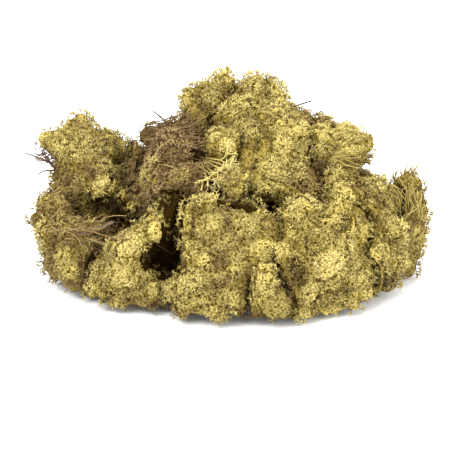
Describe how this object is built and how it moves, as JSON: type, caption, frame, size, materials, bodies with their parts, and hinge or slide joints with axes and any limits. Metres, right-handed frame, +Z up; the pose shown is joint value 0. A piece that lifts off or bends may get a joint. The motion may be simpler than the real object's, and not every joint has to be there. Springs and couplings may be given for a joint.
{
  "type": "reindeer moss clump",
  "caption": "Heap of tangled dried reindeer lichen tufts, mustard to olive with brown stems and a few caught twigs, lying on its flat underside.",
  "frame": {"origin": "on the surface the clump lies on, under the middle of its box", "axes": "+X along the clump's longest side, +Y away from the side that shows its flat pressed block, +Z up, its shortest extent"},
  "size_m": [0.2938, 0.2764, 0.1535],
  "materials": {
    "green_gold_lichen": "matt",
    "brown_lichen": "matt",
    "bark": "matt"
  },
  "bodies": {
    "root": {"bed_tuft": "green_gold_lichen", "hanging_tuft": "green_gold_lichen", "front_ball_tuft": "green_gold_lichen", "crown_tuft": "green_gold_lichen", "crown_left_tuft": "green_gold_lichen", "crown_right_tuft": "green_gold_lichen", "dark_tuft": "brown_lichen", "left_tuft": "green_gold_lichen", "middle_left_tuft": "green_gold_lichen", "front_block_tuft": "green_gold_lichen", "front_left_tuft": "green_gold_lichen", "left_rim_tuft": "green_gold_lichen", "right_shoulder_tuft": "green_gold_lichen", "front_right_tuft": "green_gold_lichen", "right_rim_tuft": "green_gold_lichen", "right_end_tuft": "green_gold_lichen", "back_left_tuft": "green_gold_lichen", "back_tuft": "green_gold_lichen", "back_right_tuft": "green_gold_lichen", "left_twig": "bark", "dark_twig": "bark", "crown_twig": "bark", "bark_strip": "bark"}
  },
  "joints": []
}
